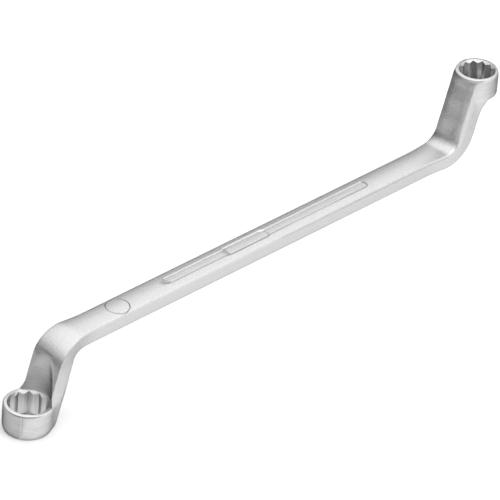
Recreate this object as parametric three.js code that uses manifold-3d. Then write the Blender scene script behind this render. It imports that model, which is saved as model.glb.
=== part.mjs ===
import * as THREE from "three";
import { mergeVertices } from "three/addons/utils/BufferGeometryUtils.js";
import Module from "manifold-3d";

// Double-ended ring spanner, deep offset, for 10 mm and 11 mm hexagons.
// The real tool is one forging. It is built here as its five regions, which meet on flat sections:
// the larger ring, its neck, the shank, the neck of the smaller ring, and the smaller ring.
// Millimetres, +Z up. X runs along the shank from the larger ring, which is below the shank,
// to the smaller ring, which is above it. The larger ring's end face lies on Z = 0,
// and X = 0 and Y = 0 are the middle of the tool.

// Whole tool
const overallLength = 210;
const neckAngle = THREE.MathUtils.degToRad(73);

// Shank: two flat sides and a crowned face on top and below
const shankWidth = 9;
const shankSideHeight = 4.9;
const shankCrown = 0.55;

// Larger end
const largeAcrossFlats = 11;
const largeRingDiameter = 15.8;
const largeRingHeight = 9.1;
const largeOffset = 22.1;
const largeNeckWidth = 12.3;
const largeNeckCrown = 3.2;
const largeNeckReach = 4.1;
const largeBendRadius = 8.5;
const largeNeckFlare = 0.9;
const largeNeckFlareHeight = 4;
const largeScoopInset = 0.35;
const largeSocketTurn = THREE.MathUtils.degToRad(15);

// Smaller end
const smallAcrossFlats = 10;
const smallRingDiameter = 14.2;
const smallRingHeight = 8.1;
const smallOffset = 22.9;
const smallNeckWidth = 10.9;
const smallNeckCrown = 4.1;
const smallNeckReach = 2.4;
const smallBendRadius = 10;
const smallNeckFlare = 0.9;
const smallNeckFlareHeight = 6;
const smallScoopInset = 1;
const smallSocketTurn = THREE.MathUtils.degToRad(-4);

// Both rings and sockets
const socketClearance = 0.1;
const mouthMargin = 0.2;
const mouthDepth = 0.95;
const endFaceWidth = 0.6;
const endRoundHeight = 2.3;
const neckSideRoundWidth = 0.45;
const neckSideRoundHeight = 0.9;

// Both necks
const neckFrontCrown = 0.3;

// Recessed panel and round recess in the shank's top face
const panelDepth = 0.3;
const panelStart = -41;
const panelEnd = 48.8;
const panelWidth = 3.4;
const panelWideDepth = 0.38;
const panelWideStart = -14;
const panelWideEnd = 4.2;
const panelWideWidth = 4.4;
const panelStepLength = 1.4;
const discDepth = 0.15;
const discDiameter = 7.9;
const discX = -61.2;
const discY = -0.4;

// Fineness of the curved faces, as counts
const pointsAcross = 13;
const bendSteps = 10;
const neckSteps = 6;
const roundSteps = 5;
const turnSteps = 60;
const socketPoints = 12;

// One length past a face for every cut
const overrun = 5;

const wasm = await Module();
wasm.setup();

// A closed three.js geometry as a solid that can be joined and cut.
function solidOf(geometry) {
  const bare = geometry.clone();
  bare.deleteAttribute("normal");
  bare.deleteAttribute("uv");
  const merged = mergeVertices(bare);
  return new wasm.Manifold(
    new wasm.Mesh({
      numProp: 3,
      vertProperties: merged.attributes.position.array,
      triVerts: new Uint32Array(merged.index.array),
    }),
  );
}

// A solid as a named mesh with its own material.
function meshOf(name, solid, material) {
  const made = solid.getMesh();
  const geometry = new THREE.BufferGeometry();
  geometry.setAttribute("position", new THREE.BufferAttribute(made.vertProperties, 3));
  geometry.setIndex(new THREE.BufferAttribute(made.triVerts, 1));
  const mesh = new THREE.Mesh(geometry, material);
  mesh.name = name;
  return mesh;
}

function steel(color) {
  return new THREE.MeshStandardMaterial({ color, roughness: 0.38, metalness: 1 });
}

// Rises from 0 to 1 with level ends.
function ease(share) {
  const t = THREE.MathUtils.clamp(share, 0, 1);
  return t * t * (3 - 2 * t);
}

// Closed outline of a cross-section: flat sides, a crown toward the inside of the bend
// and a crown toward its outside, which the flare widens on both sides.
// Roundness 0 gives an inner crown with crisp edges, 1 a half-round.
function sectionOutline({ width, flare, sideHeight, innerCrown, outerCrown, roundness }) {
  const power = THREE.MathUtils.lerp(1, 0.5, roundness);
  const outline = [];
  for (let i = 0; i < pointsAcross; i++) {
    const angle = Math.PI * (i / (pointsAcross - 1));
    const across = -Math.cos(angle);
    const rise = innerCrown * Math.pow(1 - across * across, power);
    outline.push([(across * width) / 2, sideHeight / 2 + rise]);
  }
  for (let i = 0; i < pointsAcross; i++) {
    const across = 1 - (2 * i) / (pointsAcross - 1);
    const rise = outerCrown * (1 - across * across);
    outline.push([across * (width / 2 + flare), -sideHeight / 2 - rise]);
  }
  return outline;
}

// A solid through a row of stations. Each station is a section outline whose middle is at x, z
// and which leans back by its turn: 0 stands upright across X, a quarter turn lies level.
function loft(stations) {
  const positions = [];
  const corners = stations.map((station) =>
    sectionOutline(station).map(([across, up]) => [
      station.x - up * Math.sin(station.turn),
      across,
      station.z + up * Math.cos(station.turn),
    ]),
  );
  const count = corners[0].length;
  const triangle = (a, b, c) => positions.push(...a, ...b, ...c);
  for (let i = 0; i + 1 < corners.length; i++) {
    for (let j = 0; j < count; j++) {
      const next = (j + 1) % count;
      triangle(corners[i][j], corners[i + 1][next], corners[i][next]);
      triangle(corners[i][j], corners[i + 1][j], corners[i + 1][next]);
    }
  }
  const capMiddle = (station) => [station.x, 0, station.z];
  const first = corners[0];
  const last = corners[corners.length - 1];
  for (let j = 0; j < count; j++) {
    const next = (j + 1) % count;
    triangle(capMiddle(stations[0]), first[j], first[next]);
    triangle(capMiddle(stations[stations.length - 1]), last[next], last[j]);
  }
  const geometry = new THREE.BufferGeometry();
  geometry.setAttribute("position", new THREE.Float32BufferAttribute(positions, 3));
  return solidOf(geometry);
}

// A body of revolution about a vertical axis at x. The profile holds radius and height pairs
// and runs up the outside from the axis to the axis.
function turned(profile, x) {
  const points = profile.map(([radius, height]) => new THREE.Vector2(radius, height));
  const geometry = new THREE.LatheGeometry(points, turnSteps);
  geometry.rotateX(Math.PI / 2);
  geometry.translate(x, 0, 0);
  return solidOf(geometry);
}

function block(fromX, toX, fromZ, toZ, width) {
  const geometry = new THREE.BoxGeometry(toX - fromX, width, toZ - fromZ);
  geometry.translate((fromX + toX) / 2, 0, (fromZ + toZ) / 2);
  return solidOf(geometry);
}

// A level outline, drawn in X and Y, made solid between two heights.
function raised(shape, fromZ, toZ, curveSegments) {
  const geometry = new THREE.ExtrudeGeometry(shape, {
    depth: toZ - fromZ,
    bevelEnabled: false,
    curveSegments,
  });
  geometry.translate(0, 0, fromZ);
  return solidOf(geometry);
}

// The shank's section, shared by the shank and by the place where each neck starts.
const shankSection = {
  width: shankWidth,
  flare: 0,
  sideHeight: shankSideHeight,
  innerCrown: shankCrown,
  outerCrown: shankCrown,
  roundness: 0,
};

// Where things lie at one end, seen with its ring up and outward: x runs outward
// from the tool's middle and z from the shank's middle plane toward the ring.
function endPlan(end) {
  const radius = end.ringDiameter / 2;
  const ringX = overallLength / 2 - radius;
  const footX = ringX - end.neckReach;
  const cornerX = footX - end.offset / Math.tan(neckAngle);
  const tangent = end.bendRadius * Math.tan(neckAngle / 2);
  return {
    radius,
    ringX,
    cornerX,
    tangent,
    bendX: cornerX - tangent,
    neckSideZ: end.offset - end.ringHeight / 2,
    endZ: end.offset + end.ringHeight / 2,
  };
}

// Stations from the shank through the bend and up the neck to the ring's end face.
function neckStations(end, plan) {
  const stations = [];
  const blend = (share) => ({
    width: THREE.MathUtils.lerp(shankWidth, end.neckWidth, ease(share)),
    flare: 0,
    sideHeight: shankSideHeight,
    innerCrown: THREE.MathUtils.lerp(shankCrown, end.neckCrown, ease(share)),
    outerCrown: THREE.MathUtils.lerp(shankCrown, neckFrontCrown, ease(share)),
    roundness: ease(share),
  });
  for (let i = 0; i <= bendSteps; i++) {
    const share = i / bendSteps;
    const angle = neckAngle * share;
    stations.push({
      x: plan.bendX + end.bendRadius * Math.sin(angle),
      z: end.bendRadius * (1 - Math.cos(angle)),
      turn: (Math.PI / 2) * share,
      ...blend(share),
    });
  }
  const level = (z, inset) => {
    const flareShare = THREE.MathUtils.clamp(1 - (plan.neckSideZ - z) / end.neckFlareHeight, 0, 1);
    const full = blend(1);
    return {
      x: plan.cornerX + z / Math.tan(neckAngle),
      z,
      turn: Math.PI / 2,
      ...full,
      width: full.width - 2 * inset,
      flare: end.neckFlare * flareShare ** 2,
      innerCrown: full.innerCrown - inset,
    };
  };
  const flareZ = plan.neckSideZ - end.neckFlareHeight;
  for (let i = 0; i <= neckSteps; i++) {
    stations.push(level(flareZ + (end.neckFlareHeight * i) / neckSteps, 0));
  }
  const roundWidth = plan.radius - endFlatRadius(end);
  for (let i = 0; i <= roundSteps; i++) {
    const angle = ((Math.PI / 2) * i) / roundSteps;
    const z = plan.endZ - endRoundHeight * (1 - Math.sin(angle));
    stations.push(level(z, roundWidth * (1 - Math.cos(angle))));
  }
  return stations;
}

function cornerRadius(end) {
  return (end.acrossFlats + socketClearance) / 2 / Math.cos(Math.PI / 6);
}

function endFlatRadius(end) {
  return cornerRadius(end) + mouthMargin + endFaceWidth;
}

// The ring: a level face toward the neck with a small edge round,
// an upright wall, a large edge round and a narrow level end face.
function ringBody(end, plan) {
  const flatRadius = endFlatRadius(end);
  const profile = [[0, plan.neckSideZ]];
  for (let i = 0; i <= roundSteps; i++) {
    const angle = ((Math.PI / 2) * i) / roundSteps;
    profile.push([
      plan.radius - neckSideRoundWidth * (1 - Math.sin(angle)),
      plan.neckSideZ + neckSideRoundHeight * (1 - Math.cos(angle)),
    ]);
  }
  for (let i = 0; i <= roundSteps; i++) {
    const angle = ((Math.PI / 2) * i) / roundSteps;
    profile.push([
      flatRadius + (plan.radius - flatRadius) * Math.cos(angle),
      plan.endZ - endRoundHeight * (1 - Math.sin(angle)),
    ]);
  }
  profile.push([0, plan.endZ]);
  return turned(profile, plan.ringX);
}

// The twelve-point socket with a conical lead at both mouths.
function socketCut(end, plan) {
  const outer = cornerRadius(end);
  const inner = (end.acrossFlats + socketClearance) / 2 / Math.cos(Math.PI / socketPoints);
  const star = new THREE.Shape();
  for (let i = 0; i < 2 * socketPoints; i++) {
    const radius = i % 2 === 0 ? outer : inner;
    const angle = end.socketTurn + (Math.PI * i) / socketPoints;
    const x = plan.ringX + radius * Math.cos(angle);
    const y = radius * Math.sin(angle);
    if (i === 0) star.moveTo(x, y);
    else star.lineTo(x, y);
  }
  star.closePath();
  const bore = raised(star, plan.neckSideZ - overrun, plan.endZ + overrun, 1);
  const mouth = outer + mouthMargin;
  const slope = (mouth - inner) / mouthDepth;
  const lead = (z, way) => {
    const profile = [
      [0, z + way * mouthDepth],
      [inner, z + way * mouthDepth],
      [mouth + slope * overrun, z - way * overrun],
      [0, z - way * overrun],
    ];
    return turned(way > 0 ? profile.reverse() : profile, plan.ringX);
  };
  return bore.add(lead(plan.neckSideZ, 1)).add(lead(plan.endZ, -1));
}

// One end's two regions, cut apart in the plane of the ring's face toward the neck.
function buildEnd(end) {
  const plan = endPlan(end);
  const neckBar = loft(neckStations(end, plan));
  const wide = 2 * (end.ringDiameter + overrun);
  const reach = overallLength;
  const ringSide = block(0, reach, plan.neckSideZ, plan.endZ + overrun, wide);
  const shankSide = block(0, reach, -end.offset, plan.neckSideZ, wide);
  const scoopRadius = plan.radius - end.scoopInset;
  const scoop = turned(
    [
      [0, -end.offset],
      [scoopRadius, -end.offset],
      [scoopRadius, plan.endZ],
      [0, plan.endZ],
    ],
    plan.ringX,
  );
  return {
    plan,
    neck: neckBar.intersect(shankSide).subtract(scoop),
    ring: neckBar.intersect(ringSide).add(ringBody(end, plan)).subtract(socketCut(end, plan)),
  };
}

const largeEnd = buildEnd({
  acrossFlats: largeAcrossFlats,
  ringDiameter: largeRingDiameter,
  ringHeight: largeRingHeight,
  offset: largeOffset,
  neckWidth: largeNeckWidth,
  neckCrown: largeNeckCrown,
  neckReach: largeNeckReach,
  bendRadius: largeBendRadius,
  neckFlare: largeNeckFlare,
  neckFlareHeight: largeNeckFlareHeight,
  scoopInset: largeScoopInset,
  socketTurn: largeSocketTurn,
});

const smallEnd = buildEnd({
  acrossFlats: smallAcrossFlats,
  ringDiameter: smallRingDiameter,
  ringHeight: smallRingHeight,
  offset: smallOffset,
  neckWidth: smallNeckWidth,
  neckCrown: smallNeckCrown,
  neckReach: smallNeckReach,
  bendRadius: smallBendRadius,
  neckFlare: smallNeckFlare,
  neckFlareHeight: smallNeckFlareHeight,
  scoopInset: smallScoopInset,
  socketTurn: smallSocketTurn,
});

// Outline of the long narrow recess with round ends.
function narrowPanel() {
  const half = panelWidth / 2;
  const shape = new THREE.Shape();
  shape.moveTo(panelStart + half, -half);
  shape.lineTo(panelEnd - half, -half);
  shape.absarc(panelEnd - half, 0, half, -Math.PI / 2, Math.PI / 2, false);
  shape.lineTo(panelStart + half, half);
  shape.absarc(panelStart + half, 0, half, Math.PI / 2, (3 * Math.PI) / 2, false);
  return shape;
}

// Outline of its wide middle, square at one end and stepped in at a slant at the other.
function widePanel() {
  const narrow = panelWidth / 2;
  const half = panelWideWidth / 2;
  const shape = new THREE.Shape();
  shape.moveTo(panelWideStart, -half);
  shape.lineTo(panelWideEnd - panelStepLength, -half);
  shape.lineTo(panelWideEnd, -narrow);
  shape.lineTo(panelWideEnd, narrow);
  shape.lineTo(panelWideEnd - panelStepLength, half);
  shape.lineTo(panelWideStart, half);
  shape.closePath();
  return shape;
}

// The straight bar between the two bends, with its panel and round recess.
function buildShank() {
  const bar = (drop) =>
    loft([
      { x: -largeEnd.plan.bendX, z: -drop, turn: 0, ...shankSection },
      { x: smallEnd.plan.bendX, z: -drop, turn: 0, ...shankSection },
    ]);
  const topZ = shankSideHeight / 2 + shankCrown + overrun;
  const recess = (shape, depth) => raised(shape, 0, topZ, turnSteps / 2).subtract(bar(depth));
  const disc = new THREE.Shape();
  disc.absarc(discX, discY, discDiameter / 2, 0, 2 * Math.PI, false);
  return bar(0)
    .subtract(recess(narrowPanel(), panelDepth))
    .subtract(recess(widePanel(), panelWideDepth))
    .subtract(recess(disc, discDepth));
}

const spanner = new THREE.Group();
spanner.position.z = largeOffset + largeRingHeight / 2;

const largeGroup = new THREE.Group();
largeGroup.rotation.y = Math.PI;
largeGroup.add(meshOf("large_ring", largeEnd.ring, steel(0xc4c6c8)));
largeGroup.add(meshOf("large_end_neck", largeEnd.neck, steel(0xbfc1c3)));

const smallGroup = new THREE.Group();
smallGroup.add(meshOf("small_end_neck", smallEnd.neck, steel(0xbfc1c3)));
smallGroup.add(meshOf("small_ring", smallEnd.ring, steel(0xc4c6c8)));

spanner.add(largeGroup);
spanner.add(meshOf("shank", buildShank(), steel(0xc8cacc)));
spanner.add(smallGroup);

export default spanner;
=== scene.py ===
import math
import bmesh
import bpy
from mathutils import Matrix, Vector


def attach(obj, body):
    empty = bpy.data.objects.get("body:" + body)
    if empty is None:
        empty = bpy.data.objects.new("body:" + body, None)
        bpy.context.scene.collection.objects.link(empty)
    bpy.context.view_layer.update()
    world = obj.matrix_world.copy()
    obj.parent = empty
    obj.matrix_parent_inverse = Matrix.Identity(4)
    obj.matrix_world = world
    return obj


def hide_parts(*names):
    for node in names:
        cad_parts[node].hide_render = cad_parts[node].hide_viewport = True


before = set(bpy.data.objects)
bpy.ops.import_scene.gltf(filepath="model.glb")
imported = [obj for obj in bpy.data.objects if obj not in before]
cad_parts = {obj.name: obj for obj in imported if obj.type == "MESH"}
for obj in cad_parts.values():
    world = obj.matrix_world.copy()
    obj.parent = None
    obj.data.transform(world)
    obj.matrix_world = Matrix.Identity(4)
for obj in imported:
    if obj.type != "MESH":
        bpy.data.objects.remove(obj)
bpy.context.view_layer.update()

mm = 0.001  # the forging's lengths are in millimetres, the studio's in metres
mergeWithin = 1e-6  # points nearer than this, in metres, are one

# The forging: one piece of steel. Both its ends have the same form, each in its own sizes
forging = {
    "length": 210,
    "midHeight": 26.65,  # height of the shank's middle plane
    "neckAngle": math.radians(73),
    "shankWidth": 9,
    "sideHeight": 4.9,
    "shankCrown": 0.55,
    "shankShape": 2,
    "neckFrontCrown": 0.3,
    "shankRound": 0.5,
    "shankRowLength": 2.5,
    "bendLead": 12,  # length of shank that is drawn with the bend
    "fillReach": 4,  # the bend's fill starts this far before it and ends as far after it
    "levelling": 9,  # length of neck over which its sections turn level
    "neckCrowding": 1.5,  # a higher number draws the neck's rows nearer together at the ring
    "rimRoundWidth": 0.45,
    "rimRoundHeight": 0.9,
    "endRoundHeight": 2.3,
    "endFaceWidth": 0.6,
    "socketClearance": 0.1,
    "mouthLead": 0.2,  # the mouth is this much wider than the socket's points
    "wallBlendSteps": 4,
    "scoopSoftness": 0.7,
    "scoopEdgeLeast": 0.4,  # share of the half width where the scoop's edge starts, low on the neck
    "scoopEdgeSoftness": 1.0,
    "scoopEdgeGap": 0.35,  # the scoop's edge keeps this far from the neck's corner
    "scoopEdgeGapSoftness": 0.3,
    "scoopLeastLean": 0.2,  # sections that lean less aren't scooped
    "swellAbove": 0.5,  # the neck swells toward the ring above this height
    "smoothBelow": math.radians(30),
}
ends = {
    "large": {
        "side": -1,
        "acrossFlats": 11,
        "ringDiameter": 15.8,
        "ringHeight": 9.1,
        "offset": 22.1,
        "neckWidth": 12.3,
        # Along the middle line from the bend's start, where each face starts and stops widening
        "outerWidening": (-8, 9.7),
        "innerWidening": (-3, 22),
        "bendFill": 0.85,  # extra metal in the hollow of the bend
        "neckRound": 0.3,
        "bendCrown": 1.9,
        "bendShape": 4,  # a higher number makes the neck's back flatter and its corners tighter
        "ringCrown": 2.7,
        "ringShape": 2.4,
        "neckReach": 4.1,
        "bendRadius": 8.5,
        "flare": 0.9,
        "flareHeight": 4,
        "scoopRadius": 7.0,
        "filletSoftness": 1.2,
        "filletSlope": 0.4,
        "socketTurn": math.radians(15),
    },
    "small": {
        "side": 1,
        "acrossFlats": 10,
        "ringDiameter": 14.2,
        "ringHeight": 8.1,
        "offset": 22.9,
        "neckWidth": 11.2,
        "outerWidening": (-7, 7.5),
        "innerWidening": (-10, 10),
        "bendFill": 0.1,
        "neckRound": 0.55,
        "bendCrown": 2.65,
        "bendShape": 2.25,
        "ringCrown": 3.35,
        "ringShape": 2.25,
        "neckReach": 2.4,
        "bendRadius": 10,
        "flare": 0.9,
        "flareHeight": 6,
        "scoopRadius": 6.35,
        "filletSoftness": 1.2,
        "filletSlope": 0.35,
        "socketTurn": math.radians(-4),
    },
}
grid = {  # how many steps each stretch of the surface takes
    "lead": 10,
    "crown": 28,
    "corner": 3,
    "side": 6,
    "strip": 6,
    "scoop": 16,
    "bend": 26,
    "neck": 30,
    "ringTurn": 84,
    "ringWall": 8,
    "endRound": 8,
}


def lerp(a, b, share):
    return a + (b - a) * share


def ease(share):
    t = min(max(share, 0), 1)
    return t * t * (3 - 2 * t)


def softMax(a, b, width):  # the larger of two, with a fillet where they cross
    near = max(width - abs(a - b), 0) / width
    return max(a, b) + near * near * width / 4


def planOf(end):  # where things lie at one end, seen with its ring up and outward
    radius = end["ringDiameter"] / 2
    ringX = forging["length"] / 2 - radius
    cornerX = ringX - end["neckReach"] - end["offset"] / math.tan(forging["neckAngle"])
    flat = (end["acrossFlats"] + forging["socketClearance"]) / 2
    corner = flat / math.cos(math.pi / 6)
    faceZ = end["offset"] - end["ringHeight"] / 2
    endZ = end["offset"] + end["ringHeight"] / 2
    return {
        "radius": radius,
        "ringX": ringX,
        "cornerX": cornerX,
        "bendX": cornerX - end["bendRadius"] * math.tan(forging["neckAngle"] / 2),
        "bendLength": end["bendRadius"] * forging["neckAngle"],
        "neckStartZ": end["bendRadius"] * (1 - math.cos(forging["neckAngle"])),
        "faceZ": faceZ,  # the ring's face on the neck's side
        "wallZ": faceZ + forging["rimRoundHeight"],
        "roundZ": endZ - forging["endRoundHeight"],
        "endZ": endZ,
        "rimFlat": radius - forging["rimRoundWidth"],
        "cornerRadius": corner,
        "innerRadius": flat / math.cos(math.pi / 12),
        "mouthRadius": corner + forging["mouthLead"],
        "endFlat": corner + forging["mouthLead"] + forging["endFaceWidth"],
    }


for end in ends.values():
    end["plan"] = planOf(end)


def stationAt(end, share=1, z=None, lead=0):
    # One cross-section. share runs through the bend, z is a height on the straight neck,
    # and lead is a length of shank before the bend
    plan = end["plan"]
    blend = ease(share)
    upNeck = 0 if z is None else min((z - plan["neckStartZ"]) / (plan["faceZ"] - plan["neckStartZ"]), 1)
    shape = lerp(lerp(forging["shankShape"], end["bendShape"], blend), end["ringShape"], upNeck)
    along = share * plan["bendLength"] - lead
    if z is not None:
        along += (z - plan["neckStartZ"]) / math.sin(forging["neckAngle"])
    halves = []
    for start, stop in (end["innerWidening"], end["outerWidening"]):
        widened = ease((along - start) / (stop - start))
        halves.append(lerp(forging["shankWidth"], end["neckWidth"], widened) / 2)
    reach = forging["fillReach"]
    fillShare = min(max((along + reach) / (plan["bendLength"] + 2 * reach), 0), 1)
    station = {
        "half": halves[0],
        "fill": end["bendFill"] * math.sin(math.pi * fillShare) ** 2,
        "inner": lerp(lerp(forging["shankCrown"], end["bendCrown"], blend), end["ringCrown"], upNeck),
        "outer": lerp(forging["shankCrown"], forging["neckFrontCrown"], blend),
        "round": lerp(forging["shankRound"], end["neckRound"], blend),
        "shape": shape,
        "power": lerp(1, 1 / shape, blend),  # from a plain crown to one with full corners
        "flare": halves[1] - halves[0],
    }
    if z is None:
        angle = forging["neckAngle"] * share
        station["x"] = plan["bendX"] - lead + end["bendRadius"] * math.sin(angle)
        station["z"] = end["bendRadius"] * (1 - math.cos(angle))
        station["turn"] = angle
    else:
        station["x"] = plan["cornerX"] + z / math.tan(forging["neckAngle"])
        station["z"] = z
        level = ease((z - plan["neckStartZ"]) / forging["levelling"])
        station["turn"] = lerp(forging["neckAngle"], math.pi / 2, level)
        rise = min(max(1 - (plan["faceZ"] - z) / end["flareHeight"], 0), 1)
        station["flare"] += end["flare"] * rise * rise
    return station


def curvedCorner(start, corner, stop, steps):
    points = []
    for i in range(1, steps):
        t = i / steps
        points.append(tuple(
            (1 - t) ** 2 * a + 2 * t * (1 - t) * b + t * t * c for a, b, c in zip(start, corner, stop)))
    return points


def swollenRadius(z, end):  # the neck is filleted out to this radius, which shrinks down the neck
    plan = end["plan"]
    return plan["radius"] - end["filletSlope"] * (plan["faceZ"] - z)


def scoopEdge(station, end, wide):
    # How far across the front face the scoop reaches: its cylinder's own edge, kept off the neck's corner
    plan = end["plan"]
    front = wide - station["round"]
    frontU = station["x"] + forging["sideHeight"] / 2 * math.sin(station["turn"]) - plan["ringX"]
    scoop = end["scoopRadius"]
    edge = math.sqrt(max(scoop ** 2 - frontU ** 2, 0)) if frontU > -scoop else 0
    edge = softMax(edge, forging["scoopEdgeLeast"] * wide, forging["scoopEdgeSoftness"])
    far = math.hypot(frontU, front)
    swollen = softMax(swollenRadius(station["z"], end), far, end["filletSoftness"])
    most = front * swollen / far - forging["scoopEdgeGap"]
    return most - softMax(most - edge, 0, forging["scoopEdgeGapSoftness"])


def halfOutline(station, end):
    # From the middle of the inner face to the middle of the outer face on the +Y side,
    # in the section's own plane
    half, flare = station["half"], station["flare"]
    side = forging["sideHeight"] / 2
    inner = side + station["fill"]
    soft = station["round"]
    turn = math.acos((half - soft) / half)
    crown = []
    for i in range(grid["crown"] // 2 + 1):
        angle = lerp(math.pi / 2, turn, i / (grid["crown"] // 2))
        across = half * math.cos(angle)
        rise = max(1 - max(across / half, 0) ** station["shape"], 0) ** station["power"]
        crown.append((across, inner + station["inner"] * rise))
    wide = half + flare
    tilt = math.atan2(flare, side + inner)
    top = (half + soft * math.sin(tilt), inner - soft * math.cos(tilt))
    low = (wide - soft * math.sin(tilt), -side + soft * math.cos(tilt))

    def onFront(across):
        return (across, -side - station["outer"] * max(1 - (across / wide) ** 2, 0))

    points = crown + curvedCorner(crown[-1], (half, inner), top, grid["corner"])
    for i in range(grid["side"] + 1):
        points.append((lerp(top[0], low[0], i / grid["side"]), lerp(top[1], low[1], i / grid["side"])))
    points += curvedCorner(low, (wide, -side), onFront(wide - soft), grid["corner"])
    frontAt = len(points)
    edge = scoopEdge(station, end, wide)
    for i in range(grid["strip"]):
        points.append(onFront(lerp(wide - soft, edge, i / grid["strip"])))
    bow = math.asin(min(edge / end["scoopRadius"], 1))
    for i in range(grid["scoop"] // 2 + 1):
        points.append(onFront(end["scoopRadius"] * math.sin(lerp(bow, 0, i / (grid["scoop"] // 2)))))
    return points, frontAt


def placed(point, station):  # a section's point in the end's frame
    across, up = point
    return [
        station["x"] - up * math.sin(station["turn"]),
        across,
        station["z"] + up * math.cos(station["turn"]),
    ]


def pushedOut(point, end, radius, inset=0):
    # Away from the ring's axis, onto the ring's wall with a fillet
    ringX = end["plan"]["ringX"]
    u, y = point[0] - ringX, point[1]
    far = math.hypot(u, y)
    new = softMax(radius, far, end["filletSoftness"]) - inset
    return [ringX + u * new / far, y * new / far, point[2]]


def halfSection(station, end):
    points, frontAt = halfOutline(station, end)
    points = [placed(p, station) for p in points]
    # The neck swells toward the ring
    before = points[frontAt]
    moved = []
    for point in points[:frontAt + 1]:
        if point[2] > forging["swellAbove"]:
            point = pushedOut(point, end, swollenRadius(point[2], end))
        moved.append(point)
    shift = [b - a for a, b in zip(before, moved[-1])]
    points[:frontAt + 1] = moved
    for i in range(1, grid["strip"]):
        share = 1 - i / grid["strip"]
        points[frontAt + i] = [c + s * share for c, s in zip(points[frontAt + i], shift)]
    # The scoop is hollowed out of the front face
    lean = math.sin(station["turn"])
    if lean > forging["scoopLeastLean"]:
        for i in range(frontAt, len(points)):
            x, y, z = points[i]
            if abs(y) < end["scoopRadius"]:
                reach = (x - end["plan"]["ringX"] + math.sqrt(end["scoopRadius"] ** 2 - y * y)) / lean
                reach = softMax(reach, 0, forging["scoopSoftness"])
                points[i] = [x - reach * lean, y, z + reach * math.cos(station["turn"])]
    return points


def wholeLoop(half):  # mirrors the +Y half to a closed loop that starts at the inner face's middle
    mirrored = [[x, -y, z] for x, y, z in half[1:-1]]
    return half + mirrored[::-1]


def worldPoint(point, end):
    return Vector((end["side"] * point[0], point[1], forging["midHeight"] + end["side"] * point[2])) * mm


def ringRow(z, inset, end):
    # Half of a level loop round the ring: the neck's outline pushed onto the ring's wall, then the
    # bare ring. Also the count of the neck's steps, and the angle at which the bare ring starts
    plan, station = end["plan"], stationAt(end, z=z)
    points, frontAt = halfOutline(station, end)
    steps = grid["corner"]
    wide = (station["half"] + station["flare"], -forging["sideHeight"] / 2)
    low = points[frontAt - steps]
    points[frontAt - steps:frontAt + 1] = [
        tuple(lerp(a, b, i / steps) for a, b in zip(low, wide)) for i in range(steps + 1)]
    neck = [pushedOut(placed(p, station), end, plan["radius"], inset) for p in points[:frontAt + 1]]
    start = math.atan2(neck[-1][1], neck[-1][0] - plan["ringX"])
    radius = math.hypot(neck[-1][1], neck[-1][0] - plan["ringX"])
    bare = []
    for i in range(1, grid["ringTurn"] // 2 + 1):
        angle = lerp(start, 0, i / (grid["ringTurn"] // 2))
        far = lerp(radius, plan["radius"] - inset, min(i / forging["wallBlendSteps"], 1))
        if angle:  # the blend stays within the ring's own width
            far = min(far, plan["radius"] / abs(math.sin(angle)))
        bare.append([plan["ringX"] + far * math.cos(angle), far * math.sin(angle), z])
    return neck + bare, len(neck) - 1, start


def neckLoops(end):
    # Half sections from the shank through the bend and up the neck
    plan, steps = end["plan"], grid["lead"]
    stations = [stationAt(end, 0, lead=forging["bendLead"] * (1 - i / steps)) for i in range(steps)]
    stations += [stationAt(end, i / grid["bend"]) for i in range(grid["bend"] + 1)]
    for i in range(1, grid["neck"]):
        share = 1 - (1 - i / grid["neck"]) ** forging["neckCrowding"]
        stations.append(stationAt(end, z=lerp(plan["neckStartZ"], plan["faceZ"], share)))
    return [halfSection(station, end) for station in stations]


def rimProfile(plan):
    # The round between the ring's wall and its face on the neck's side, as shares of the way out
    # from the face's edge to the wall, and heights
    steps = grid["strip"] - 1
    profile = []
    for i in range(steps + 1):
        angle = math.pi / 2 * i / steps
        profile.append((math.cos(angle), plan["faceZ"] + forging["rimRoundHeight"] * (1 - math.sin(angle))))
    return profile


def footLoop(neck, start, profile, end):
    # The neck's last half loop, which goes over the ring's rim and round the scoop's mouth
    plan, scoopSteps = end["plan"], grid["scoop"] // 2
    wall = math.hypot(neck[-1][0] - plan["ringX"], neck[-1][1])
    turns = [(start, lerp(plan["rimFlat"], wall, share), z) for share, z in profile[1:]]
    for i in range(scoopSteps + 1):
        turns.append((lerp(start, math.pi, i / scoopSteps), end["scoopRadius"], plan["faceZ"]))
    return neck + [[plan["ringX"] + far * math.cos(turn), far * math.sin(turn), z] for turn, far, z in turns]


def wallLoops(first, end):
    # The ring's wall from its rim to its end face, with the round at that face
    plan = end["plan"]
    rows = [first]
    roundWidth = plan["radius"] - plan["endFlat"]
    for i in range(1, grid["ringWall"] + 1):
        rows.append(ringRow(lerp(plan["wallZ"], plan["roundZ"], i / grid["ringWall"]), 0, end)[0])
    for i in range(1, grid["endRound"] + 1):
        angle = math.pi / 2 * i / grid["endRound"]
        z = plan["roundZ"] + forging["endRoundHeight"] * math.sin(angle)
        rows.append(ringRow(z, roundWidth * (1 - math.cos(angle)), end)[0])
    return rows


def rimRows(bare, profile, plan):
    # The rim's round along the bare ring, from one side of the neck to the other
    rows = []
    for share, z in profile:
        row = []
        for x, y, _ in bare:
            far = math.hypot(x - plan["ringX"], y)
            new = lerp(plan["rimFlat"], far, share)
            row.append([plan["ringX"] + (x - plan["ringX"]) * new / far, y * new / far, z])
        rows.append(row + [[x, -y, z] for x, y, z in row[-2::-1]])
    return rows


def endSheets(end):
    # The grids of one end: the bend and neck as closed loops, the ring's wall, and the round of its rim
    profile = rimProfile(end["plan"])
    first, neckCount, start = ringRow(end["plan"]["wallZ"], 0, end)
    loops = neckLoops(end) + [footLoop(first[:neckCount + 1], start, profile, end)]
    wall = [wholeLoop(row) for row in wallLoops(first, end)]
    return [wholeLoop(loop) for loop in loops], wall, rimRows(first[neckCount:], profile, end["plan"])


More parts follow.
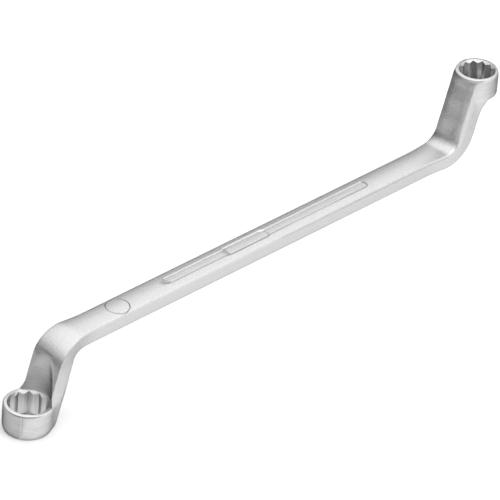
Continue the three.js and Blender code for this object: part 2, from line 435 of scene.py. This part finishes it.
def layGrid(name, rows):
    # A grid primitive whose rows are laid over the form; closed rows repeat their first point
    bpy.ops.object.select_all(action="DESELECT")
    bpy.ops.mesh.primitive_grid_add(x_subdivisions=len(rows[0]) - 1, y_subdivisions=len(rows) - 1, size=1)
    piece = bpy.context.object
    piece.name = name
    for vertex, point in zip(piece.data.vertices, [p for row in rows for p in row]):
        vertex.co = point
    piece.matrix_world = Matrix.Identity(4)
    return piece


def joined(parts, name):
    bpy.ops.object.select_all(action="DESELECT")
    for part in parts:
        part.select_set(True)
    bpy.context.view_layer.objects.active = parts[0]
    bpy.ops.object.join()
    parts[0].name = name
    return parts[0]


def closed(row):
    return row + [row[0]]


def startEdit(piece):
    bpy.context.view_layer.objects.active = piece
    bpy.ops.object.mode_set(mode="EDIT")
    bpy.ops.mesh.select_mode(type="VERT")
    bpy.ops.mesh.select_all(action="SELECT")


def endEditOutward():  # leaves edit mode with every face turned outward
    bpy.ops.mesh.select_all(action="SELECT")
    bpy.ops.mesh.normals_make_consistent(inside=False)
    bpy.ops.object.mode_set(mode="OBJECT")


def applyPlace():
    bpy.ops.object.transform_apply(location=True, rotation=True, scale=True)


def buildSkin():
    sheets, shankLoops = [], {}
    for name, end in ends.items():
        neck, wall, rim = [[[worldPoint(p, end) for p in row] for row in sheet] for sheet in endSheets(end)]
        shankLoops[name] = neck[0]
        sheets.append(layGrid(name + "Neck", [closed(row) for row in neck]))
        sheets.append(layGrid(name + "Wall", [closed(row) for row in wall]))
        sheets.append(layGrid(name + "Rim", rim))
    # The shank runs from loop to loop. The large end is turned over, so its loop is read from
    # its other face
    top = shankLoops["small"]
    count = len(top)
    turned = [shankLoops["large"][(count // 2 - i) % count] for i in range(count)]
    steps = round((top[0] - turned[0]).length / mm / forging["shankRowLength"])
    rows = [closed([a.lerp(b, i / steps) for a, b in zip(top, turned)]) for i in range(steps + 1)]
    sheets.append(layGrid("shankSkin", rows))
    skin = joined(sheets, "forging")
    startEdit(skin)
    bpy.ops.mesh.remove_doubles(threshold=2 * mergeWithin)
    bpy.ops.mesh.select_all(action="DESELECT")
    bpy.ops.mesh.select_non_manifold(extend=False)
    bpy.ops.mesh.edge_face_add()
    shell = bmesh.from_edit_mesh(skin.data)
    openEdges = sum(1 for e in shell.edges if len(e.link_faces) != 2)
    endEditOutward()
    print("skin:", len(skin.data.vertices), "vertices,", openEdges, "open edges")
    return skin


skin = buildSkin()


def cutAway(piece, cutter):
    bpy.ops.object.select_all(action="DESELECT")
    bpy.context.view_layer.objects.active = piece
    cut = piece.modifiers.new("cut", "BOOLEAN")
    cut.operation = "DIFFERENCE"
    cut.solver = "EXACT"
    cut.object = cutter
    bpy.ops.object.modifier_apply(modifier=cut.name)
    bpy.data.objects.remove(cutter, do_unlink=True)
    piece.select_set(True)
    startEdit(piece)
    bpy.ops.mesh.remove_doubles(threshold=mergeWithin)  # hairline cracks would mislead the next cut
    bpy.ops.object.mode_set(mode="OBJECT")


def addPrism(name, outline, low, high):
    # A circle primitive whose rim takes the outline, filled and extruded upward
    bpy.ops.object.select_all(action="DESELECT")
    bpy.ops.mesh.primitive_circle_add(vertices=len(outline), radius=1, fill_type="NGON")
    prism = bpy.context.object
    prism.name = name
    for vertex, (x, y) in zip(prism.data.vertices, outline):
        vertex.co = Vector((x, y, low)) * mm
    startEdit(prism)
    bpy.ops.mesh.extrude_region_move(TRANSFORM_OT_translate={"value": (0, 0, (high - low) * mm)})
    endEditOutward()
    return prism


# The recessed panel in the shank's top face, long and narrow with round ends, and wider and deeper
# over a short length of its middle
panel = {
    "depth": 0.26,
    "start": -41.2,
    "end": 49,
    "width": 3.9,
    "wideDepth": 0.37,
    "wideStart": -14.2,
    "wideEnd": 4.2,
    "wideWidth": 5.1,
    "stepLength": 1.4,
    "wallSlope": 1.7,  # width gained on each side per mm of height
    "endSlope": 1.4,
    "lean": (1.0, 0.55),  # how far the cutters lean per mm of height
    "cutterReach": 1,  # the cutters stand this far above and below the face
    "endSteps": 12,
}
disc = {  # the round recess beside it, and the groove round that
    "x": -61.2,
    "y": -0.3,
    "diameter": 7.75,
    "depth": 0.06,
    "grooveWidth": 0.4,
    "grooveDepth": 0.45,
    "turnSteps": 64,
    "grooveSteps": 10,
}


def roundEnded(start, stop, half):
    count = panel["endSteps"]
    outline = []
    for middle, turn in ((stop - half, -math.pi / 2), (start + half, math.pi / 2)):
        for i in range(count + 1):
            angle = turn + math.pi * i / count
            outline.append((middle + half * math.cos(angle), half * math.sin(angle)))
    return outline


def shankTop(y):  # height of the shank's crowned top face
    half = forging["shankWidth"] / 2
    return forging["midHeight"] + forging["sideHeight"] / 2 + forging["shankCrown"] * (1 - (y / half) ** 2)


def cutRecess(skin, face, name, lowOutline, highOutline, depth):
    # The cutter's floor is the shank's own crowned face, lowered by the depth
    reach = panel["cutterReach"]
    cutter = addPrism(name, lowOutline, shankTop(0) - reach, shankTop(0) + reach)
    for vertex, (x, y) in zip(cutter.data.vertices[len(lowOutline):], highOutline):
        vertex.co.x, vertex.co.y = x * mm, y * mm
    lowered = face.copy()
    lowered.data = face.data.copy()
    bpy.context.collection.objects.link(lowered)
    for vertex in lowered.data.vertices:
        vertex.co.z -= depth * mm
    cutAway(cutter, lowered)
    cutAway(skin, cutter)


def cutPanel(skin, face):
    # Both recesses widen upward and lean, so that the far wall is steeper than the near one
    def leaning(outline, grow):
        return [(x - grow * panel["lean"][0], y - grow * panel["lean"][1]) for x, y in outline]

    def grown(start, stop, width, grow):  # where it starts and stops, and its half width
        endways = grow * panel["endSlope"]
        return start - endways, stop + endways, width / 2 + grow * panel["wallSlope"]

    def narrowOutline(grow):
        return roundEnded(*grown(panel["start"], panel["end"], panel["width"], grow))

    def wideOutline(grow):
        left, right, half = grown(panel["wideStart"], panel["wideEnd"], panel["wideWidth"], grow)
        step = panel["stepLength"]
        return [(left, -half), (right - step, -half), (right, -half + step / 2),
                (right, half - step / 2), (right - step, half), (left, half)]

    reach = panel["cutterReach"]
    narrow = ("narrowCutter", narrowOutline, panel["depth"])
    wide = ("wideCutter", wideOutline, panel["wideDepth"])
    for name, outline, depth in (narrow, wide):
        cutRecess(skin, face, name, leaning(outline(-reach), -reach), leaning(outline(reach), reach), depth)


def cutDisc(skin, face):
    # A shallow disc inside a fine groove, both following the crowned face
    radius, steps = disc["diameter"] / 2, disc["turnSteps"]
    turns = [2 * math.pi * i / steps for i in range(steps)]
    outline = [(disc["x"] + radius * math.cos(turn), disc["y"] + radius * math.sin(turn)) for turn in turns]
    cutRecess(skin, face, "discCutter", outline, outline, disc["depth"])
    bpy.ops.object.select_all(action="DESELECT")
    bpy.ops.mesh.primitive_torus_add(
        major_segments=steps, minor_segments=disc["grooveSteps"], major_radius=radius * mm,
        minor_radius=disc["grooveWidth"] / 2 * mm, location=(disc["x"] * mm, disc["y"] * mm, 0))
    groove = bpy.context.object
    applyPlace()
    for vertex in groove.data.vertices:
        deep = vertex.co.z * 2 * disc["grooveDepth"] / disc["grooveWidth"]
        vertex.co.z = deep + shankTop(vertex.co.y / mm) * mm
    cutAway(skin, groove)


def cutTopFace(skin):
    face = skin.copy()  # the forging before its cuts
    face.data = skin.data.copy()
    cutDisc(skin, face)
    cutPanel(skin, face)
    bpy.data.objects.remove(face, do_unlink=True)
    print("top face cut:", len(skin.data.vertices), "vertices")


cutTopFace(skin)

# Sockets: a twelve-point star right through, and a conical lead at both mouths
socket = {
    "points": 12,
    "starPast": 3,  # the star's cutter stands this far out of the ring
    "mouthDepth": 0.95,
    "leadPast": 0.1,
    "leadNarrower": 0.03,  # keeps the lead's end inside the star
    "turnSteps": 96,
}


def addCone(name, x, low, lowRadius, high, highRadius):
    bpy.ops.object.select_all(action="DESELECT")
    bpy.ops.mesh.primitive_cone_add(
        vertices=socket["turnSteps"], radius1=lowRadius * mm, radius2=highRadius * mm,
        depth=(high - low) * mm, location=(x * mm, 0, (low + high) / 2 * mm))
    cone = bpy.context.object
    cone.name = name
    applyPlace()
    return cone


def cutSocket(skin, end):
    plan = end["plan"]
    axisX = end["side"] * plan["ringX"]
    low, high = sorted(forging["midHeight"] + end["side"] * plan[key] for key in ("faceZ", "endZ"))
    star = []
    for i in range(2 * socket["points"]):
        radius = plan["cornerRadius"] if i % 2 == 0 else plan["innerRadius"]
        angle = end["socketTurn"] + math.pi * i / socket["points"]
        star.append((axisX + radius * math.cos(angle), radius * math.sin(angle)))
    cutAway(skin, addPrism("socketStar", star, low - socket["starPast"], high + socket["starPast"]))
    depth, past = socket["mouthDepth"], socket["leadPast"]
    narrow = plan["innerRadius"] - socket["leadNarrower"]
    wide = plan["mouthRadius"] + (plan["mouthRadius"] - narrow) / depth * past
    cutAway(skin, addCone("upperLead", axisX, high - depth, narrow, high + past, wide))
    cutAway(skin, addCone("lowerLead", axisX, low - past, wide, low + depth, narrow))


for end in ends.values():
    cutSocket(skin, end)
print("sockets cut:", len(skin.data.vertices), "vertices")

# The fine upright line that the belt leaves on the large ring's wall
seam = {
    "turn": math.radians(213.5),
    "width": 0.35,
    "depth": 0.12,
    "low": 2.4,
    "high": 9.3,
    "steps": 48,
}


def cutSeam(skin, end):
    plan = end["plan"]
    out = plan["radius"] + seam["width"] - seam["depth"]
    where = (end["side"] * plan["ringX"] + out * math.cos(seam["turn"]), out * math.sin(seam["turn"]))
    bpy.ops.object.select_all(action="DESELECT")
    bpy.ops.mesh.primitive_cylinder_add(
        vertices=seam["steps"], radius=seam["width"] * mm, depth=(seam["high"] - seam["low"]) * mm,
        location=(where[0] * mm, where[1] * mm, (seam["low"] + seam["high"]) / 2 * mm))
    bar = bpy.context.object
    applyPlace()
    cutAway(skin, bar)


cutSeam(skin, ends["large"])

# The line below the shank's upper edge where the flash was trimmed; it fades toward the large end
trim = {
    "from": -76,  # along the middle line, from the small bend's start
    "to": 2,
    "thin": 0.1,
    "thick": 0.17,
    "below": 0.6,
    "inside": 0.06,  # how far the line's middle lies inside the shank's side
    "rows": 40,
    "around": 12,
}


def addTrimLine(end, side):
    rows = []
    for i in range(trim["rows"] + 1):
        share = i / trim["rows"]
        along = lerp(trim["from"], trim["to"], share)
        radius = lerp(trim["thin"], trim["thick"], share) if 0 < share < 1 else 0  # pointed ends
        station = stationAt(end, max(along, 0) / end["plan"]["bendLength"], lead=max(-along, 0))
        row = []
        for k in range(trim["around"]):
            angle = 2 * math.pi * k / trim["around"]
            across = station["half"] - trim["inside"] + radius * math.cos(angle)
            up = forging["sideHeight"] / 2 + station["fill"] - trim["below"] + radius * math.sin(angle)
            x, y, z = placed((across, up), station)
            row.append(worldPoint((x, side * y, z), end))
        rows.append(closed(row[::side]))
    line = layGrid("trimLine", rows)
    startEdit(line)
    bpy.ops.mesh.remove_doubles(threshold=mergeWithin)
    endEditOutward()
    return line


cutAway(skin, joined([addTrimLine(ends["small"], side) for side in (-1, 1)], "trimLines"))
startEdit(skin)
bpy.ops.mesh.dissolve_degenerate(threshold=mergeWithin)
bpy.ops.object.mode_set(mode="OBJECT")
bpy.ops.object.shade_smooth_by_angle(angle=forging["smoothBelow"])
print("forging:", len(skin.data.vertices), "vertices")


def toLinear(code):  # "#rrggbb" in sRGB to the linear colour that Blender wants
    parts = [int(code[i:i + 2], 16) / 255 for i in (1, 3, 5)]
    return tuple(c / 12.92 if c <= 0.04045 else ((c + 0.055) / 1.055) ** 2.4 for c in parts) + (1,)


def addNode(tree, kind, settings=None, links=None):
    node = tree.nodes.new(kind)
    for key, value in (settings or {}).items():
        if isinstance(key, int) or key in node.inputs:
            node.inputs[key].default_value = value
        else:
            setattr(node, key, value)
    for key, source in (links or {}).items():
        tree.links.new(source, node.inputs[key])
    return node


def newMaterial(name):
    material = bpy.data.materials.new(name)
    material.use_nodes = True
    material.node_tree.nodes.clear()
    return material, material.node_tree


chrome = {
    "color": "#d9d9d9",
    "darkGrain": "#cbcbcb",
    "darkSpan": (0.62, 0.36),  # the grain's heights between which it darkens
    "roughness": 0.35,
    "roughnessSpread": 0.05,
    "roughnessSpan": (0.3, 0.7),  # and between which it turns rougher
    "edgeTint": "#101010",
    "grain": 0.5,
    "grainDetail": 3,
    "grainRoughness": 0.6,
    "grainDepth": 0.11,
    "streak": 0.32,  # width of a belt or broach mark
    "streakDetail": 2,
    "beltStretch": (0.06, 0.06, 1),
    "broachStretch": (1, 1, 0.04),
    "socketReach": 6.5,  # the sockets' broached walls lie nearer than this to a ring's axis
    "wallReach": 8.05,  # and the rings' ground walls nearer than this
}


def satinChrome():
    # Matt chrome over a blasted forging: wide soft highlights, dark outlines and a fine even grain.
    # The real grain is about 0.1 mm, too fine for the picture, so it is drawn at half a millimetre
    material, tree = newMaterial("satinChromePlate")
    place = addNode(tree, "ShaderNodeTexCoord").outputs["Object"]
    height = addNode(tree, "ShaderNodeTexNoise", {
        "Scale": 1 / (chrome["grain"] * mm),
        "Detail": chrome["grainDetail"], "Roughness": chrome["grainRoughness"],
    }, {"Vector": place}).outputs["Fac"]
    level = addNode(tree, "ShaderNodeVectorMath", {"operation": "MULTIPLY", 1: (1, 1, 0)}, {0: place})
    distances = {}
    for i, end in enumerate(ends.values()):
        axis = (end["side"] * end["plan"]["ringX"] * mm, 0, 0)
        distances[i] = addNode(tree, "ShaderNodeVectorMath", {"operation": "DISTANCE", 1: axis}, {
            0: level.outputs["Vector"]}).outputs["Value"]
    nearest = addNode(tree, "ShaderNodeMath", {"operation": "MINIMUM"}, distances).outputs["Value"]
    # Belt marks run round the rings' walls, broach marks run up and down inside the sockets
    belt = (chrome["wallReach"], chrome["beltStretch"])
    broach = (chrome["socketReach"], chrome["broachStretch"])
    for reach, stretch in (belt, broach):
        drawn = addNode(tree, "ShaderNodeVectorMath", {"operation": "MULTIPLY", 1: stretch}, {0: place})
        streak = addNode(tree, "ShaderNodeTexNoise", {
            "Scale": 1 / (chrome["streak"] * mm), "Detail": chrome["streakDetail"],
        }, {"Vector": drawn.outputs["Vector"]})
        within = addNode(tree, "ShaderNodeMath", {"operation": "LESS_THAN", 1: reach * mm}, {0: nearest})
        height = addNode(tree, "ShaderNodeMix", {"data_type": "FLOAT"}, {
            "Factor": within.outputs["Value"], "A": height, "B": streak.outputs["Fac"]}).outputs["Result"]
    bump = addNode(tree, "ShaderNodeBump", {
        "Strength": 1, "Distance": chrome["grainDepth"] * mm}, {"Height": height})
    rough = addNode(tree, "ShaderNodeMapRange", {
        "From Min": chrome["roughnessSpan"][0], "From Max": chrome["roughnessSpan"][1],
        "To Min": chrome["roughness"] - chrome["roughnessSpread"],
        "To Max": chrome["roughness"] + chrome["roughnessSpread"],
    }, {"Value": height})
    dark = addNode(tree, "ShaderNodeMapRange", {
        "From Min": chrome["darkSpan"][0], "From Max": chrome["darkSpan"][1]}, {"Value": height})
    color = addNode(tree, "ShaderNodeMix", {
        "data_type": "RGBA", 6: toLinear(chrome["color"]), 7: toLinear(chrome["darkGrain"]),
    }, {0: dark.outputs["Result"]})
    shader = addNode(tree, "ShaderNodeBsdfPrincipled", {
        "Metallic": 1, "Specular Tint": toLinear(chrome["edgeTint"]),
    }, {
        "Base Color": color.outputs[2],
        "Normal": bump.outputs["Normal"],
        "Roughness": rough.outputs["Result"],
    })
    addNode(tree, "ShaderNodeOutputMaterial", links={"Surface": shader.outputs["BSDF"]})
    return material


skin.data.materials.clear()
skin.data.materials.append(satinChrome())
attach(skin, "root")
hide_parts("large_ring", "large_end_neck", "shank", "small_end_neck", "small_ring")
print("forging plated")

# Floor, light and camera, in metres
studio = {
    "floorSize": 6,
    "floorColor": "#fafafa",
    "paintedDimFarColor": "#b0b0b0",
    "floorMiddle": (0.05, 0, 0),
    "paleWithin": 0.3,
    "dimBeyond": 0.8,
    "cameraTurn": 47.2993,
    "cameraTilt": 33.6992,
    "cameraRoll": 4.7592,
    "cameraDistance": 1.736007,
    "framePixels": 500,
    "focalPixels": 5500,
    "shiftPixels": (6.906, 6.028),
    "sensorWidth": 36,
    "clip": (0.1, 20),
}


def addFloor():
    bpy.ops.mesh.primitive_plane_add(size=studio["floorSize"])
    floor = bpy.context.object
    floor.name = "floor"
    material, tree = newMaterial("paleTable")
    place = addNode(tree, "ShaderNodeTexCoord").outputs["Object"]
    # The floor's colour runs from pale near its middle to grey far out: a painted falloff of the light round
    # the tool
    middle = addNode(tree, "ShaderNodeVectorMath", {
        "operation": "DISTANCE", 1: studio["floorMiddle"]}, {0: place})
    far = addNode(tree, "ShaderNodeMapRange", {
        "interpolation_type": "SMOOTHSTEP",
        "From Min": studio["paleWithin"], "From Max": studio["dimBeyond"],
    }, {"Value": middle.outputs["Value"]})
    color = addNode(tree, "ShaderNodeMix", {
        "data_type": "RGBA", 6: toLinear(studio["floorColor"]), 7: toLinear(studio["paintedDimFarColor"]),
    }, {0: far.outputs["Result"]})
    shader = addNode(tree, "ShaderNodeBsdfDiffuse", links={"Color": color.outputs[2]})
    addNode(tree, "ShaderNodeOutputMaterial", links={"Surface": shader.outputs["BSDF"]})
    floor.data.materials.append(material)


# Cards that only the metal's reflections show: painted reflections, dark and pale, that stand in for the
# shade and light round the tool, as a studio's cards do for bright metal. The camera, the floor's light and
# the shadows don't see them. Each is a colour, its own light, and its spans: sideways and onward from the
# camera's side, and height
cards = {
    # Standing dark cards at the left, front and back: painted dark reflections
    "leftShadeCard": ("#303030", 0, (-0.25, -0.25), (-0.3, 0.35), (0, 0.08)),
    "frontShadeCard": ("#303030", 0, (-0.25, 0.25), (-0.15, -0.15), (0, 0.06)),
    "backShadeCard": ("#303030", 0, (-0.25, 0.3), (0.35, 0.35), (0, 0.14)),
    # Sheets lying on the floor: painted shadow, a darker floor that only the metal's reflections show
    "tableShadowCard": ("#303030", 0, (-0.25, -0.04), (0.08, 0.35), (0.001, 0.001)),
    "besideShadowCard": ("#d2d2d2", 0, (-0.25, -0.068), (-0.15, 0.08), (0.0003, 0.0003)),
    "rightShadeCard": ("#b8b8b8", 0, (0.14, 0.25), (0, 0.15), (0.001, 0.001)),
    # A glowing white sheet under the large socket: painted light in its walls' reflections
    "largeSocketGlowCard": ("#ffffff", 0.33, (-0.071, -0.061), (-0.076, -0.066), (0.0006, 0.0006)),
    # A dark sheet under the small socket: painted shade in its walls' reflections
    "smallSocketShadeCard": ("#505050", 0, (0.0614, 0.0714), (0.067, 0.077), (0.0435, 0.0435)),
}


def cardCorners(spans):
    # Four corners in the order of a plane primitive's own; two of the three spans have a length
    first, second = [i for i, span in enumerate(spans) if span[0] != span[1]]
    corners = []
    for far in spans[second]:
        for near in spans[first]:
            corner = [span[0] for span in spans]
            corner[first], corner[second] = near, far
            corners.append(corner)
    return corners


def addCards():
    turn = math.radians(studio["cameraTurn"])
    onward = Vector((math.sin(turn), math.cos(turn), 0))
    sideways = Vector((math.cos(turn), -math.sin(turn), 0))
    for name, (color, light, *spans) in cards.items():
        material, tree = newMaterial(name)
        shader = addNode(tree, "ShaderNodeBsdfPrincipled", {
            "Base Color": toLinear(color), "Roughness": 1,
            "Emission Color": toLinear(color), "Emission Strength": light})
        addNode(tree, "ShaderNodeOutputMaterial", links={"Surface": shader.outputs["BSDF"]})
        bpy.ops.mesh.primitive_plane_add(size=1)
        card = bpy.context.object
        card.name = name
        for vertex, (across, along, height) in zip(card.data.vertices, cardCorners(spans)):
            vertex.co = sideways * across + onward * along + Vector((0, 0, height))
        card.data.materials.append(material)
        card.visible_camera = card.visible_diffuse = card.visible_shadow = False


lamps = {  # where each stands, what it aims at, the width of its disc, and its power in watts
    "keyLamp": ((0.25, -0.75, 0.1), (0, 0, 0.03), 0.4, 0.5),
    "tableLamp": ((0, -0.3, 0.35), (0, -0.12, 0), 0.3, 0.35),
}


def addLamps():
    for name, (where, aim, size, power) in lamps.items():
        bpy.ops.object.light_add(type="AREA", location=where)
        lamp = bpy.context.object
        lamp.name = name
        lamp.data.shape = "DISK"
        lamp.data.size = size
        lamp.data.energy = power
        lamp.rotation_euler = (Vector(aim) - Vector(where)).to_track_quat("-Z", "Y").to_euler()


# The room's light by direction: a dim level all round, and soft bright areas that add to it
roomBase = 0.3
roomAreas = [  # middle of the area, cosines at which it starts and is full, strength
    ((0, 0, 1), 0.18, 0.75, 1.08),
    ((0.58, 0.535, 0.61), 0.85, 0.97, 0.2),
    ((0.7, -0.66, -0.25), 0.6, 0.95, 0.8),
]


def addRoom():
    world = bpy.data.worlds.new("studioRoom")
    world.use_nodes = True
    tree = world.node_tree
    tree.nodes.clear()
    way = addNode(tree, "ShaderNodeTexCoord").outputs["Generated"]
    strength = None
    for middle, start, full, most in roomAreas:
        near = addNode(tree, "ShaderNodeVectorMath", {
            "operation": "DOT_PRODUCT", 1: Vector(middle).normalized()}, {0: way})
        area = addNode(tree, "ShaderNodeMapRange", {
            "interpolation_type": "SMOOTHSTEP", "From Min": start, "From Max": full, "To Max": most,
        }, {"Value": near.outputs["Value"]})
        links = {0: area.outputs["Result"]}
        if strength:
            links[1] = strength
        strength = addNode(tree, "ShaderNodeMath", {"operation": "ADD", 1: roomBase}, links).outputs["Value"]
    light = addNode(tree, "ShaderNodeBackground", {"Color": (1, 1, 1, 1)}, {"Strength": strength})
    addNode(tree, "ShaderNodeOutputWorld", links={"Surface": light.outputs["Background"]})
    bpy.context.scene.world = world


def addCamera():
    turn, tilt, roll = (math.radians(studio[k]) for k in ("cameraTurn", "cameraTilt", "cameraRoll"))
    right = Vector((math.cos(turn), -math.sin(turn), 0))
    level = Vector((math.sin(turn), math.cos(turn), 0))
    ahead = level * math.cos(tilt) - Vector((0, 0, 1)) * math.sin(tilt)
    up = level * math.sin(tilt) + Vector((0, 0, 1)) * math.cos(tilt)
    rolledRight = right * math.cos(roll) + up * math.sin(roll)
    rolledUp = up * math.cos(roll) - right * math.sin(roll)
    middle = Vector((0, 0, forging["midHeight"] * mm))
    bpy.ops.object.camera_add()
    camera = bpy.context.object
    camera.name = "camera"
    axes = Matrix((rolledRight, rolledUp, -ahead)).transposed()
    camera.matrix_world = Matrix.Translation(middle - ahead * studio["cameraDistance"]) @ axes.to_4x4()
    camera.data.lens = studio["focalPixels"] / studio["framePixels"] * studio["sensorWidth"]
    camera.data.sensor_width = studio["sensorWidth"]
    camera.data.shift_x = -studio["shiftPixels"][0] / studio["framePixels"]
    camera.data.shift_y = -studio["shiftPixels"][1] / studio["framePixels"]
    camera.data.clip_start, camera.data.clip_end = studio["clip"]
    bpy.context.scene.camera = camera


addFloor()
addCards()
addLamps()
addRoom()
addCamera()
bpy.context.scene.view_settings.view_transform = "Standard"
print("studio set")
